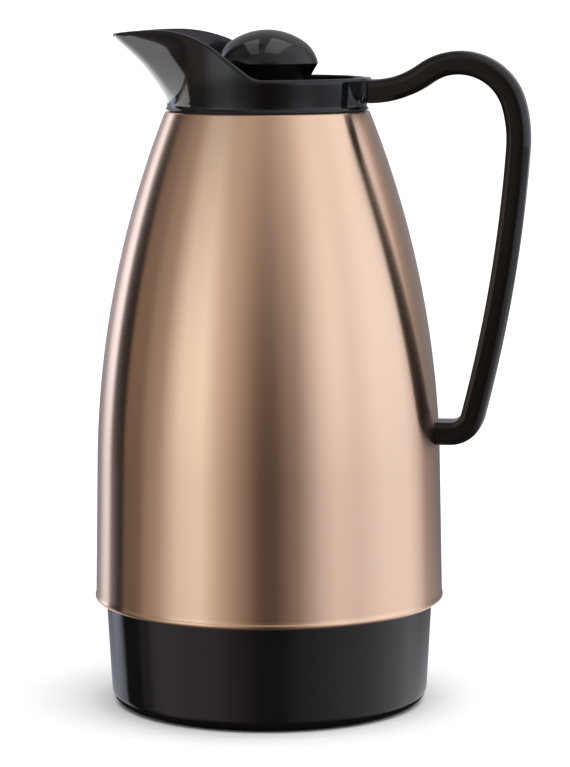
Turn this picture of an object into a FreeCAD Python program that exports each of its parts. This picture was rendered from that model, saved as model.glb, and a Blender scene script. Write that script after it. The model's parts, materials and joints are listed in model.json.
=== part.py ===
import FreeCAD, Part
import math
import os

os.makedirs("parts", exist_ok=True)

# Insulated vacuum carafe with a glass liner, a spouted collar, a bar handle and a screw stopper.
# Millimetres. The axis of the jug is Z, it stands on z = 0, the spout points along -X and the handle
# stands on +X. Right and left are alike about the plane y = 0.

# ---- steel shell
SHELL_FOOT_Z = 41.3
SHELL_FOOT_RADIUS = 69.3
SHELL_TAPER = 0.0189           # radius lost per millimetre of height below the shoulder
SHELL_SHOULDER_Z = 96.9        # the even taper ends here and one long arc begins
SHELL_SHOULDER_ARC = 391.0
SHELL_TOP_Z = 235.2
SHELL_WALL = 0.6
SHELL_TOP_ROUNDING = 1.0
SHELL_LIP_RADIUS = 35.5        # inner edge of the turned-in top lip
HEM_SECTION_RADIUS = 1.5
HEM_CENTRE_RADIUS = 68.1

# ---- collar with spout
COLLAR_FOOT_Z = 235.8
COLLAR_RIM_Z = 248.3
COLLAR_RADIUS = 40.0
COLLAR_WALL = 2.4
COLLAR_FLOOR_Z = 238.0
THROAT_RADIUS = 22.8
THROAT_OUTER_RADIUS = 26.2
THROAT_BOTTOM_Z = 219.5
RIM_ROUNDING = 0.9
LUG_END_X = 40.6
LUG_HALF_WIDTH = 8.0
LUG_ROOT_X = 33.0              # where the lug's splayed sides end, inside the round wall
LUG_ROOT_HALF_WIDTH = 16.0
LUG_INSIDE_X = 30.0
LUG_CORNER = 1.5
NUT_THREAD_PITCH = 3.0
# height, distance from the axis to the lip, and nose radius of each level section of the spout
SPOUT_SECTIONS = (
    (235.8, 40.2, 37.0),
    (239.4, 40.6, 34.1),
    (244.2, 43.2, 30.1),
    (248.9, 46.4, 26.1),
    (253.6, 50.2, 22.0),
    (258.3, 54.9, 18.1),
    (262.5, 59.6, 15.3),
    (266.0, 62.7, 13.4),
    (269.0, 64.8, 12.0),
)
# side view of the rim: crest, long fall toward the lip, shorter fall toward the bowl
RIM_CREST_X = -39.5
RIM_CREST_Z = 267.0
RIM_LIP_ARC = 142.0
RIM_FALL_ARC = 45.3
RIM_FALL_ANGLE = 36.0
RIM_COVE_ARC = 8.0

# ---- stopper
STOPPER_LEAD = 12.0            # rise in one turn, two starts
STOPPER_STARTS = 2
STOPPER_RIDGE_TURNS = 0.7
KNOB_EDGE_RADIUS = 20.0
KNOB_EDGE_Z = 253.8
KNOB_TOP_Z = 266.9
KNOB_NECK_RADIUS = 15.0
KNOB_WALL = 2.2
PLUG_RADIUS = 21.0
PLUG_NOSE_RADIUS = 17.4
PLUG_FLANGE_RADIUS = 24.0
PLUG_FLANGE_Z = 238.5
PLUG_TOP_Z = 240.3
PLUG_STEP_Z = 221.5
PLUG_BOTTOM_Z = 215.0
CAP_BOTTOM_Z = 206.0
CAP_TOP_Z = 210.6
SEAL_RADIUS = 19.2

# ---- glass liner
GLASS_WALL = 1.2
LINER_RADIUS = 51.0            # inside of the inner bottle
LINER_BOTTOM_Z = 58.0
LINER_SHOULDER_Z = 168.0
LINER_NECK_RADIUS = 19.6
LINER_NECK_Z = 205.0
LINER_TOP_Z = 217.3
JACKET_RADIUS = 57.8           # outside of the outer bottle
JACKET_BOTTOM_Z = 46.3
JACKET_SHOULDER_Z = 171.0
JACKET_NECK_RADIUS = 24.2
JACKET_NECK_Z = 208.5

# ---- base
BASE_TOP_RADIUS = 65.4
BASE_FOOT_RADIUS = 62.9
BASE_SHOULDER_Z = 44.4
BASE_WALL = 2.4
BASE_CORNER = 5.5
BASE_THREAD_TOP_Z = 57.4
BASE_NECK_RADIUS = 61.0
BASE_THREAD_PITCH = 5.0

# ---- handle
HANDLE_HALF_DEPTH = 4.55
HANDLE_HALF_WIDTH = 8.0
HANDLE_OUTER_ROUNDING = 3.2
HANDLE_INNER_BEVEL = 1.8
HANDLE_START_Z = 242.9
HANDLE_START_HEADING = 0.8     # degrees above level
# middle line of the bar from the lug on: (radius, degrees turned) for an arc, (0, length) for a line
HANDLE_LINE = (
    (0, 1.2), (36.45, 35.1), (22.23, -110.4), (50.55, -19.5), (580.0, -10.1), (0, 4.4), (9.05, -75.9),
    (0, 10.0),
)
HANDLE_TONGUE_LENGTH = 2.8
HANDLE_TONGUE_WIDTH = 11.6
HANDLE_TONGUE_DEPTH = 5.2
HANDLE_TONGUE_PLAY = 0.2       # between the tongue and each wall of the lug's pocket
HANDLE_SCREW_Z = 108.4
HANDLE_SCREW_SPREAD = 4.6      # half the distance between the two foot screws
SCREW_RADIUS = 1.95
SCREW_HOLE_RADIUS = 2.0
SCREW_HEAD_RADIUS = 3.4
SCREW_HEAD_ROUNDING = 0.8
SCREW_SLOT_WIDTH = 0.9
PLATE_WALL = 2.0
FOOT_SCREW_SEAT_X = 65.5
TOP_SCREW_SEAT_X = 38.4

UP = FreeCAD.Vector(0, 0, 1)
ORIGIN = FreeCAD.Vector(0, 0, 0)


def vec(x, y, z):
    return FreeCAD.Vector(x, y, z)


def save(shape, name):
    """Write one named solid, or group of solids, as a STEP file."""
    shape.exportStep("parts/" + name + ".step")


def rounded_wire(corners):
    """Closed wire in the XZ plane through (x, z, rounding) corners."""
    count = len(corners)
    starts = []
    ends = []
    middles = []
    for index in range(count):
        x, z, rounding = corners[index]
        here = vec(x, 0, z)
        before = corners[index - 1]
        after = corners[(index + 1) % count]
        if rounding == 0:
            starts.append(here)
            ends.append(here)
            middles.append(None)
            continue
        back = (vec(before[0], 0, before[1]) - here).normalize()
        on = (vec(after[0], 0, after[1]) - here).normalize()
        half_angle = back.getAngle(on) / 2.0
        reach = rounding / math.tan(half_angle)
        bisector = (back + on).normalize()
        starts.append(here + back * reach)
        ends.append(here + on * reach)
        middles.append(here + bisector * (rounding / math.sin(half_angle) - rounding))
    edges = []
    for index in range(count):
        if middles[index] is not None:
            edges.append(Part.Arc(starts[index], middles[index], ends[index]).toShape())
        following = starts[(index + 1) % count]
        if ends[index].distanceToPoint(following) > 1e-6:
            edges.append(Part.makeLine(ends[index], following))
    return Part.Wire(edges)


def turned(corners):
    """Solid of revolution about Z from (radius, z, rounding) corners."""
    face = Part.Face(rounded_wire(corners))
    return face.revolve(ORIGIN, UP, 360)


def ring(inner, outer, bottom, top):
    """Plain ring about Z."""
    return turned(((inner, bottom, 0), (outer, bottom, 0), (outer, top, 0), (inner, top, 0)))


def helical_ridge(wall, crest, root_width, crest_width, lead, turns, start_z, start_angle):
    """Trapezoid ridge on a wall radius that winds up a right-hand helix."""
    sunk = wall + (0.4 if crest < wall else -0.4)
    helix = Part.makeHelix(lead, lead * turns, wall)
    outline = Part.makePolygon([
        vec(sunk, 0, -root_width / 2.0),
        vec(sunk, 0, root_width / 2.0),
        vec(crest, 0, crest_width / 2.0),
        vec(crest, 0, -crest_width / 2.0),
        vec(sunk, 0, -root_width / 2.0),
    ])
    ridge = Part.Wire(helix).makePipeShell([outline], True, True)
    ridge.translate(vec(0, 0, start_z))
    ridge.rotate(ORIGIN, UP, start_angle)
    return ridge


def stopper_thread(wall, crest, start_z):
    """The evenly spaced ridges of the stopper thread."""
    ridges = []
    for start in range(STOPPER_STARTS):
        angle = 20.0 + start * 360.0 / STOPPER_STARTS
        ridges.append(helical_ridge(wall, crest, 2.2, 1.4, STOPPER_LEAD, STOPPER_RIDGE_TURNS, start_z,
                                    angle))
    return ridges


def shell_radius(z):
    """Outside radius of the shell at a height."""
    if z <= SHELL_SHOULDER_Z:
        return SHELL_FOOT_RADIUS - SHELL_TAPER * (z - SHELL_FOOT_Z)
    centre_x, centre_z = shoulder_centre()
    return centre_x + math.sqrt(SHELL_SHOULDER_ARC ** 2 - (z - centre_z) ** 2)


def shoulder_centre():
    """Centre of the long shoulder arc, level with no corner where it meets the taper."""
    slope = math.atan(SHELL_TAPER)
    start = SHELL_FOOT_RADIUS - SHELL_TAPER * (SHELL_SHOULDER_Z - SHELL_FOOT_Z)
    return (start - SHELL_SHOULDER_ARC * math.cos(slope),
            SHELL_SHOULDER_Z - SHELL_SHOULDER_ARC * math.sin(slope))


def shell_block(inset, bottom, top):
    """Solid inside of the shell between two heights, drawn in by an inset."""
    foot = vec(shell_radius(bottom) - inset, 0, bottom)
    bend = vec(shell_radius(SHELL_SHOULDER_Z) - inset, 0, SHELL_SHOULDER_Z)
    middle_z = (SHELL_SHOULDER_Z + top) / 2.0
    middle = vec(shell_radius(middle_z) - inset, 0, middle_z)
    crown = vec(shell_radius(top) - inset, 0, top)
    edges = [
        Part.makeLine(vec(0, 0, bottom), foot),
        Part.makeLine(foot, bend),
        Part.Arc(bend, middle, crown).toShape(),
        Part.makeLine(crown, vec(0, 0, top)),
        Part.makeLine(vec(0, 0, top), vec(0, 0, bottom)),
    ]
    return Part.Face(Part.Wire(edges)).revolve(ORIGIN, UP, 360)


def screw(head_seat, length, head_height, y, z):
    """Pan-head screw along +X with its head's underside at head_seat."""
    along = vec(1, 0, 0)
    shank = Part.makeCylinder(SCREW_RADIUS, length, vec(head_seat - 0.2, y, z), along)
    crown_x = head_seat - head_height
    head = Part.makeCylinder(SCREW_HEAD_RADIUS, head_height, vec(crown_x, y, z), along)
    crown = [edge for edge in head.Edges if edge.BoundBox.XMax < crown_x + 1e-6]
    head = head.makeFillet(SCREW_HEAD_ROUNDING, crown)
    slot = Part.makeBox(1.0, 2 * SCREW_HEAD_RADIUS + 1, SCREW_SLOT_WIDTH,
                        vec(crown_x, y - SCREW_HEAD_RADIUS - 0.5, z - SCREW_SLOT_WIDTH / 2.0))
    return head.fuse(shank).cut(slot).removeSplitter()


def spout_section(z, reach, nose, inset):
    """Level outline of the collar: the round bowl joined to the nose by two tangents."""
    big = COLLAR_RADIUS - inset
    small = nose - inset
    centre = -(reach - nose)
    lean = math.asin((big - small) / -centre)
    sine = math.sin(lean)
    cosine = math.cos(lean)
    bowl_left = vec(-big * sine, -big * cosine, z)
    bowl_right = vec(-big * sine, big * cosine, z)
    nose_left = vec(centre - small * sine, -small * cosine, z)
    nose_right = vec(centre - small * sine, small * cosine, z)
    return Part.Wire([
        Part.Arc(bowl_left, vec(big, 0, z), bowl_right).toShape(),
        Part.makeLine(bowl_right, nose_right),
        Part.Arc(nose_right, vec(centre - small, 0, z), nose_left).toShape(),
        Part.makeLine(nose_left, bowl_left),
    ])


def spout_block(inset):
    """Solid inside of all level outlines."""
    wires = []
    for z, reach, nose in SPOUT_SECTIONS:
        wires.append(spout_section(z, reach, nose, inset))
    return Part.makeLoft(wires, True, False)


def above_rim():
    """Everything above the rim line, as seen from the side."""
    angle = math.radians(RIM_FALL_ANGLE)
    crest = vec(RIM_CREST_X, -100, RIM_CREST_Z)
    lip_turn = math.asin((RIM_CREST_X + 75.0) / RIM_LIP_ARC)
    lip = vec(-75.0, -100, RIM_CREST_Z - RIM_LIP_ARC * (1 - math.cos(lip_turn)))
    lip_middle = vec(RIM_CREST_X - RIM_LIP_ARC * math.sin(lip_turn / 2), -100,
                     RIM_CREST_Z - RIM_LIP_ARC * (1 - math.cos(lip_turn / 2)))
    fall_middle = vec(RIM_CREST_X + RIM_FALL_ARC * math.sin(angle / 2), -100,
                      RIM_CREST_Z - RIM_FALL_ARC * (1 - math.cos(angle / 2)))
    fall = vec(RIM_CREST_X + RIM_FALL_ARC * math.sin(angle), -100,
               RIM_CREST_Z - RIM_FALL_ARC * (1 - math.cos(angle)))
    cove_height = RIM_COVE_ARC * (1 - math.cos(angle))
    cove_x = fall.x + (fall.z - COLLAR_RIM_Z - cove_height) / math.tan(angle)
    cove = vec(cove_x, -100, COLLAR_RIM_Z + cove_height)
    cove_middle = vec(cove_x + RIM_COVE_ARC * (math.sin(angle) - math.sin(angle / 2)), -100,
                      COLLAR_RIM_Z + RIM_COVE_ARC * (1 - math.cos(angle / 2)))
    level = vec(cove_x + RIM_COVE_ARC * math.sin(angle), -100, COLLAR_RIM_Z)
    edges = [
        Part.Arc(lip, lip_middle, crest).toShape(),
        Part.Arc(crest, fall_middle, fall).toShape(),
        Part.makeLine(fall, cove),
        Part.Arc(cove, cove_middle, level).toShape(),
        Part.makeLine(level, vec(75, -100, COLLAR_RIM_Z)),
        Part.makeLine(vec(75, -100, COLLAR_RIM_Z), vec(75, -100, 300)),
        Part.makeLine(vec(75, -100, 300), vec(-75, -100, 300)),
        Part.makeLine(vec(-75, -100, 300), lip),
    ]
    return Part.Face(Part.Wire(edges)).extrude(vec(0, 200, 0))


def lug_block():
    """Block on the collar's wall that the handle is fixed to, splayed toward the wall."""
    bottom = HANDLE_START_Z - HANDLE_HALF_DEPTH
    corners = []
    for x, y in ((LUG_INSIDE_X, -LUG_ROOT_HALF_WIDTH), (LUG_ROOT_X, -LUG_ROOT_HALF_WIDTH),
                 (LUG_END_X, -LUG_HALF_WIDTH), (LUG_END_X, LUG_HALF_WIDTH),
                 (LUG_ROOT_X, LUG_ROOT_HALF_WIDTH), (LUG_INSIDE_X, LUG_ROOT_HALF_WIDTH)):
        corners.append(vec(x, y, bottom))
    corners.append(corners[0])
    block = Part.Face(Part.makePolygon(corners)).extrude(vec(0, 0, COLLAR_RIM_Z - bottom))
    upright = []
    for edge in block.Edges:
        if edge.BoundBox.ZLength > 5 and edge.BoundBox.XMin > LUG_END_X - 0.1:
            upright.append(edge)
    return block.makeFillet(LUG_CORNER, upright)


def on_rim(edge):
    """True for an edge that runs along the rim, not across its thickness."""
    middle = edge.valueAt((edge.FirstParameter + edge.LastParameter) / 2.0)
    for point in (middle, edge.Vertexes[0].Point, edge.Vertexes[-1].Point):
        if rim_cutter.distToShape(Part.Vertex(point))[0] > 0.002:
            return False
    return edge.BoundBox.XLength > 0.05 or edge.Length > 4.5


def bar_outline(start_x, start_z, heading, pieces, half_depth):
    """Outline of a bar of even depth along tangent pieces (radius, turn in degrees) or (0, length)."""
    x = start_x
    z = start_z
    angle = math.radians(heading)
    outer = []
    inner = []

    def sides(here_x, here_z, here_angle):
        across = vec(-math.sin(here_angle), 0, math.cos(here_angle)) * half_depth
        return vec(here_x, 0, here_z) + across, vec(here_x, 0, here_z) - across

    for radius, amount in pieces:
        first = sides(x, z, angle)
        if radius == 0:
            x += amount * math.cos(angle)
            z += amount * math.sin(angle)
            last = sides(x, z, angle)
            outer.append(Part.makeLine(first[0], last[0]))
            inner.append(Part.makeLine(first[1], last[1]))
            continue
        turn = math.radians(amount)
        side = 1 if turn > 0 else -1
        centre_x = x - side * radius * math.sin(angle)
        centre_z = z + side * radius * math.cos(angle)
        points = []
        for share in (0.5, 1.0):
            there = angle + turn * share
            points.append(sides(centre_x + side * radius * math.sin(there),
                                centre_z - side * radius * math.cos(there), there))
        outer.append(Part.Arc(first[0], points[0][0], points[1][0]).toShape())
        inner.append(Part.Arc(first[1], points[0][1], points[1][1]).toShape())
        angle += turn
        x = centre_x + side * radius * math.sin(angle)
        z = centre_z - side * radius * math.cos(angle)
    return outer, inner


def long_edges(solid, pattern):
    """Edges of an extruded bar that copy the given outline edges on either side face."""
    found = []
    for edge in solid.Edges:
        middle = edge.valueAt((edge.FirstParameter + edge.LastParameter) / 2.0)
        if abs(abs(middle.y) - HANDLE_HALF_WIDTH) > 1e-4:
            continue
        flat = Part.Vertex(vec(middle.x, 0, middle.z))
        for line in pattern:
            if line.distToShape(flat)[0] < 1e-4 and abs(line.Length - edge.Length) < 1e-3:
                found.append(edge)
                break
    return found


def knob_outline(inset):
    """Dome and cone of the knob in the XZ plane, from the top of the axis down to the neck."""
    top = vec(0, 0, KNOB_TOP_Z - inset)
    edge_radius = KNOB_EDGE_RADIUS - inset
    edge = vec(edge_radius, 0, KNOB_EDGE_Z + inset * 0.4)
    bend = vec(15.0 - inset * 0.6, 0, KNOB_TOP_Z - 5.0 - inset * 0.8)
    crown = vec(7.6 - inset * 0.3, 0, KNOB_TOP_Z - 1.2 - inset * 0.95)
    shoulder = vec(18.3 - inset * 0.85, 0, KNOB_TOP_Z - 8.75 - inset * 0.5)
    neck = vec(KNOB_NECK_RADIUS - inset, 0, 245.2)
    return [
        Part.Arc(top, crown, bend).toShape(),
        Part.Arc(bend, shoulder, edge).toShape(),
        Part.makeLine(edge, neck),
    ]


def closed_turn(edges, corners):
    """Turn an outline closed by straight lines through (radius, z) corners."""
    points = [edges[-1].Vertexes[-1].Point]
    for radius, z in corners:
        points.append(vec(radius, 0, z))
    points.append(edges[0].Vertexes[0].Point)
    lines = []
    for index in range(len(points) - 1):
        lines.append(Part.makeLine(points[index], points[index + 1]))
    return Part.Face(Part.Wire(edges + lines)).revolve(ORIGIN, UP, 360)


# ---- outer shell: tapered and arched wall, turned-in top lip, rolled hem at the bottom
hem_z = SHELL_FOOT_Z + HEM_SECTION_RADIUS
outer_block = shell_block(0.0, hem_z, SHELL_TOP_Z)
top_edges = []
for edge in outer_block.Edges:
    level = edge.BoundBox.ZLength < 1e-6 and abs(edge.BoundBox.ZMin - SHELL_TOP_Z) < 1e-6
    if level and edge.BoundBox.XLength > 2 * SHELL_LIP_RADIUS:
        top_edges.append(edge)
outer_block = outer_block.makeFillet(SHELL_TOP_ROUNDING, top_edges)
inner_block = shell_block(SHELL_WALL, SHELL_FOOT_Z, SHELL_TOP_Z - SHELL_WALL)
lip_hole = Part.makeCylinder(SHELL_LIP_RADIUS, 10, vec(0, 0, SHELL_TOP_Z - 5))
hem = Part.makeTorus(HEM_CENTRE_RADIUS, HEM_SECTION_RADIUS, vec(0, 0, hem_z))
shell = outer_block.cut(inner_block).cut(lip_hole).fuse(hem)
foot_holes = []
for side in (-1, 1):
    hole_start = vec(55, side * HANDLE_SCREW_SPREAD, HANDLE_SCREW_Z)
    foot_holes.append(Part.makeCylinder(SCREW_HOLE_RADIUS, 30, hole_start, vec(1, 0, 0)))
shell = shell.cut(foot_holes)
save(shell, "outer_shell")

# ---- ring with an inner thread, pressed into the bottom of the shell
ring_bore = BASE_NECK_RADIUS + 1.6
thread_ring = shell_block(SHELL_WALL, BASE_SHOULDER_Z, 100)
thread_ring = thread_ring.common(Part.makeCylinder(100, 15.6, vec(0, 0, BASE_SHOULDER_Z)))
thread_ring = thread_ring.cut(Part.makeCylinder(ring_bore, 40, vec(0, 0, 30)))
inner_ridge = helical_ridge(ring_bore, ring_bore - 1.3, 1.8, 1.0, BASE_THREAD_PITCH, 1.6,
                            BASE_SHOULDER_Z + 2.0, 0)
save(thread_ring.fuse(inner_ridge), "base_thread_ring")

# ---- base cup: tapered wall, threaded neck, recessed floor and a ring wall under the liner
cup = turned((
    (0, 1.2, 0), (49.0, 1.2, 0.8), (50.0, 0, 0), (BASE_FOOT_RADIUS, 0, BASE_CORNER),
    (BASE_TOP_RADIUS, BASE_SHOULDER_Z, 0.5), (BASE_NECK_RADIUS, BASE_SHOULDER_Z, 0),
    (BASE_NECK_RADIUS, BASE_THREAD_TOP_Z, 0.6), (BASE_NECK_RADIUS - BASE_WALL, BASE_THREAD_TOP_Z, 0.6),
    (BASE_NECK_RADIUS - BASE_WALL, BASE_SHOULDER_Z - 3.6, 1.0),
    (BASE_TOP_RADIUS - BASE_WALL - 0.3, BASE_SHOULDER_Z - 6.4, 1.0),
    (BASE_FOOT_RADIUS - BASE_WALL, 3.6, 4.0), (24.4, 3.6, 1.5), (24.4, 42.3, 0.6), (22.0, 42.3, 0.6),
    (22.0, 3.6, 1.5), (0, 3.6, 0),
))
outer_ridge = helical_ridge(BASE_NECK_RADIUS, BASE_NECK_RADIUS + 1.3, 1.8, 1.0, BASE_THREAD_PITCH, 1.6,
                            BASE_SHOULDER_Z + 2.0 + BASE_THREAD_PITCH / 2.0, 0)
save(cup.fuse(outer_ridge), "base_cup")

# ---- rubber cushion between the base cup and the bottom of the glass
cushion = turned((
    (10.0, 42.3, 1.0), (30.0, 42.3, 1.5), (32.0, JACKET_BOTTOM_Z - 1.0, 0.8),
    (26.0, JACKET_BOTTOM_Z, 0), (10.0, JACKET_BOTTOM_Z, 0.8),
))
save(cushion, "liner_cushion")

# ---- inner bottle: the flask that holds the drink, with its rolled mouth
inner_bottle = turned((
    (0, LINER_BOTTOM_Z - GLASS_WALL, 0), (LINER_RADIUS + GLASS_WALL, LINER_BOTTOM_Z - GLASS_WALL, 27.2),
    (LINER_RADIUS + GLASS_WALL, LINER_SHOULDER_Z, 60.0),
    (LINER_NECK_RADIUS + GLASS_WALL, LINER_NECK_Z, 20.0),
    (LINER_NECK_RADIUS + GLASS_WALL, LINER_TOP_Z - 1.8, 0), (JACKET_NECK_RADIUS, LINER_TOP_Z - 1.8, 0),
    (JACKET_NECK_RADIUS, LINER_TOP_Z, 0.8), (LINER_NECK_RADIUS, LINER_TOP_Z, 0.8),
    (LINER_NECK_RADIUS, LINER_NECK_Z - 0.4, 21.2), (LINER_RADIUS, LINER_SHOULDER_Z - 0.4, 58.8),
    (LINER_RADIUS, LINER_BOTTOM_Z, 26.0), (0, LINER_BOTTOM_Z, 0),
))
save(inner_bottle, "liner_inner_glass")

# ---- outer bottle: the jacket of the vacuum, closed by a drawn-off tip under its bottom
outer_bottle = turned((
    (0, 38.6, 0), (1.3, 38.6, 0.6), (4.2, JACKET_BOTTOM_Z, 1.0), (JACKET_RADIUS, JACKET_BOTTOM_Z, 30.0),
    (JACKET_RADIUS, JACKET_SHOULDER_Z, 60.0), (JACKET_NECK_RADIUS, JACKET_NECK_Z, 12.0),
    (JACKET_NECK_RADIUS, LINER_TOP_Z - 1.8, 0), (JACKET_NECK_RADIUS - GLASS_WALL, LINER_TOP_Z - 1.8, 0),
    (JACKET_NECK_RADIUS - GLASS_WALL, JACKET_NECK_Z - 0.4, 13.2),
    (JACKET_RADIUS - GLASS_WALL, JACKET_SHOULDER_Z - 0.4, 58.8),
    (JACKET_RADIUS - GLASS_WALL, JACKET_BOTTOM_Z + GLASS_WALL, 28.8), (0, JACKET_BOTTOM_Z + GLASS_WALL, 0),
))
save(outer_bottle, "liner_outer_glass")

# ---- three pads that keep the two bottles apart
gap = ring(LINER_RADIUS + GLASS_WALL, JACKET_RADIUS - GLASS_WALL, 90, 110)
pads = []
for turn in (30, 150, 270):
    direction = vec(math.cos(math.radians(turn)), math.sin(math.radians(turn)), 0)
    pad = Part.makeCylinder(3.0, 12, direction * 48 + vec(0, 0, 100), direction)
    pads.append(pad.common(gap).Solids[0])
save(Part.Compound(pads), "liner_spacer_pads")

# ---- rubber ring between the mouth of the glass and the throat of the collar
neck_gasket = turned((
    (20.6, LINER_TOP_Z, 0), (24.5, LINER_TOP_Z, 0), (24.5, 213.0, 0), (26.6, 213.0, 0.6),
    (26.6, THROAT_BOTTOM_Z, 0), (20.6, THROAT_BOTTOM_Z, 0),
))
save(neck_gasket, "neck_gasket")

# ---- collar: bowl, spout, throat and lug for the handle
lug = lug_block()
floor_block = turned((
    (0, 230.0, 0), (70.0, 230.0, 0), (70.0, COLLAR_FLOOR_Z + 0.9, 0), (22.0, COLLAR_FLOOR_Z - 0.3, 0),
    (0, COLLAR_FLOOR_Z - 0.3, 0),
))
hollow = spout_block(COLLAR_WALL).cut(floor_block)
rim_cutter = above_rim()
collar = spout_block(0.0).fuse(lug).cut([hollow, rim_cutter]).removeSplitter()
collar = collar.makeFillet(RIM_ROUNDING, [edge for edge in collar.Edges if on_rim(edge)])
throat = ring(THROAT_RADIUS, THROAT_OUTER_RADIUS, THROAT_BOTTOM_Z, COLLAR_FLOOR_Z - 1.0)
throat_hole = Part.makeCylinder(THROAT_RADIUS, 30, vec(0, 0, THROAT_BOTTOM_Z))
pocket_width = HANDLE_TONGUE_WIDTH + 2 * HANDLE_TONGUE_PLAY
pocket_depth = HANDLE_TONGUE_DEPTH + 2 * HANDLE_TONGUE_PLAY
lug_pocket = Part.makeBox(1.2, pocket_width, pocket_depth,
                          vec(LUG_END_X - 1.0, -pocket_width / 2.0, HANDLE_START_Z - pocket_depth / 2.0))
lug_hole = Part.makeCylinder(SCREW_HOLE_RADIUS, 10, vec(35, 0, HANDLE_START_Z), vec(1, 0, 0))
lug_seat = Part.makeCylinder(SCREW_HEAD_RADIUS + 0.3, 8, vec(30.4, 0, HANDLE_START_Z), vec(1, 0, 0))
collar = collar.fuse(throat).cut([throat_hole, lug_pocket, lug_hole, lug_seat])
collar = collar.fuse(stopper_thread(THROAT_RADIUS, 21.4, 222.5))
nut_ridge = helical_ridge(THROAT_OUTER_RADIUS, THROAT_OUTER_RADIUS + 0.9, 1.0, 0.6, NUT_THREAD_PITCH, 2.6,
                          224.0, 0)
collar = collar.fuse(nut_ridge).removeSplitter()
save(collar, "spout_collar")

# ---- ring nut that draws the collar down on the shell's lip from inside
nut_bore = THROAT_OUTER_RADIUS + 1.3
lock_ring = turned((
    (nut_bore, 226.0, 0.4), (31.0, 226.0, 1.0), (31.0, 231.4, 1.0), (37.8, 231.4, 0.8),
    (37.8, SHELL_TOP_Z - SHELL_WALL, 0), (nut_bore, SHELL_TOP_Z - SHELL_WALL, 0),
))
lock_ridge = helical_ridge(nut_bore, nut_bore - 0.9, 1.0, 0.6, NUT_THREAD_PITCH, 1.6, 228.5, 0)
save(lock_ring.fuse(lock_ridge), "collar_lock_ring")

# ---- thin gasket between the shell's lip and the collar
save(ring(35.8, 38.4, SHELL_TOP_Z, COLLAR_FOOT_Z), "collar_gasket")

# ---- handle: one bar of even depth that follows a line of arcs
outer_side, inner_side = bar_outline(LUG_END_X, HANDLE_START_Z, HANDLE_START_HEADING, HANDLE_LINE,
                                     HANDLE_HALF_DEPTH)
outline = list(outer_side)
outline.append(Part.makeLine(outer_side[-1].Vertexes[-1].Point, inner_side[-1].Vertexes[-1].Point))
outline.extend(inner_side)
outline.append(Part.makeLine(inner_side[0].Vertexes[0].Point, outer_side[0].Vertexes[0].Point))
handle = Part.Face(Part.Wire(Part.__sortEdges__(outline)))
handle.translate(vec(0, -HANDLE_HALF_WIDTH, 0))
handle = handle.extrude(vec(0, 2 * HANDLE_HALF_WIDTH, 0))
handle = handle.makeFillet(HANDLE_OUTER_ROUNDING, long_edges(handle, outer_side))
handle = handle.makeChamfer(HANDLE_INNER_BEVEL, long_edges(handle, inner_side))
tongue_corner = vec(LUG_END_X - 1.0 + HANDLE_TONGUE_PLAY, -HANDLE_TONGUE_WIDTH / 2.0,
                    HANDLE_START_Z - HANDLE_TONGUE_DEPTH / 2.0)
tongue = Part.makeBox(HANDLE_TONGUE_LENGTH, HANDLE_TONGUE_WIDTH, HANDLE_TONGUE_DEPTH, tongue_corner)
pilots = [Part.makeCylinder(SCREW_HOLE_RADIUS, 11.5, vec(39, 0, HANDLE_START_Z), vec(1, 0, 0))]
for side in (-1, 1):
    pilot_start = vec(62, side * HANDLE_SCREW_SPREAD, HANDLE_SCREW_Z)
    pilots.append(Part.makeCylinder(SCREW_HOLE_RADIUS, 16, pilot_start, vec(1, 0, 0)))
handle_end = Part.makeBox(60, 60, 60, vec(LUG_END_X - 60, -30, 220))
handle = handle.cut(handle_end).fuse(tongue).cut(pilots).cut(shell_block(0.0, 90, 130))
save(handle.removeSplitter(), "handle")

# ---- curved plate inside the shell that spreads the pull of the foot screws
plate = Part.makeBox(30, 26, 21, vec(50, -13, HANDLE_SCREW_Z - 10.5))
plate = plate.common(shell_block(SHELL_WALL, 90, 130)).cut(shell_block(SHELL_WALL + PLATE_WALL, 90, 130))
plate_cuts = []
foot_screws = []
for side in (-1, 1):
    screw_y = side * HANDLE_SCREW_SPREAD
    seat_start = vec(FOOT_SCREW_SEAT_X - 12, screw_y, HANDLE_SCREW_Z)
    bore_start = vec(FOOT_SCREW_SEAT_X - 5, screw_y, HANDLE_SCREW_Z)
    plate_cuts.append(Part.makeCylinder(SCREW_HEAD_RADIUS + 0.4, 12, seat_start, vec(1, 0, 0)))
    plate_cuts.append(Part.makeCylinder(SCREW_HOLE_RADIUS, 20, bore_start, vec(1, 0, 0)))
    foot_screws.append(screw(FOOT_SCREW_SEAT_X, 12.0, 2.4, screw_y, HANDLE_SCREW_Z))
save(plate.cut(plate_cuts), "handle_backing_plate")
save(Part.Compound(foot_screws), "handle_foot_screws")
save(screw(TOP_SCREW_SEAT_X, 11.0, 2.2, 0, HANDLE_START_Z), "handle_top_screw")

# ---- stopper knob: domed cap on a waisted neck, hollow inside
knob = closed_turn(knob_outline(0.0), (
    (16.5, 243.0), (PLUG_FLANGE_RADIUS, 242.0), (PLUG_FLANGE_RADIUS, PLUG_TOP_Z), (17.7, PLUG_TOP_Z),
    (17.7, 239.2), (0, 239.2),
))
knob_hollow = closed_turn(knob_outline(KNOB_WALL), ((12.8, 238.0), (0, 238.0)))
save(knob.cut(knob_hollow), "stopper_knob")

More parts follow.
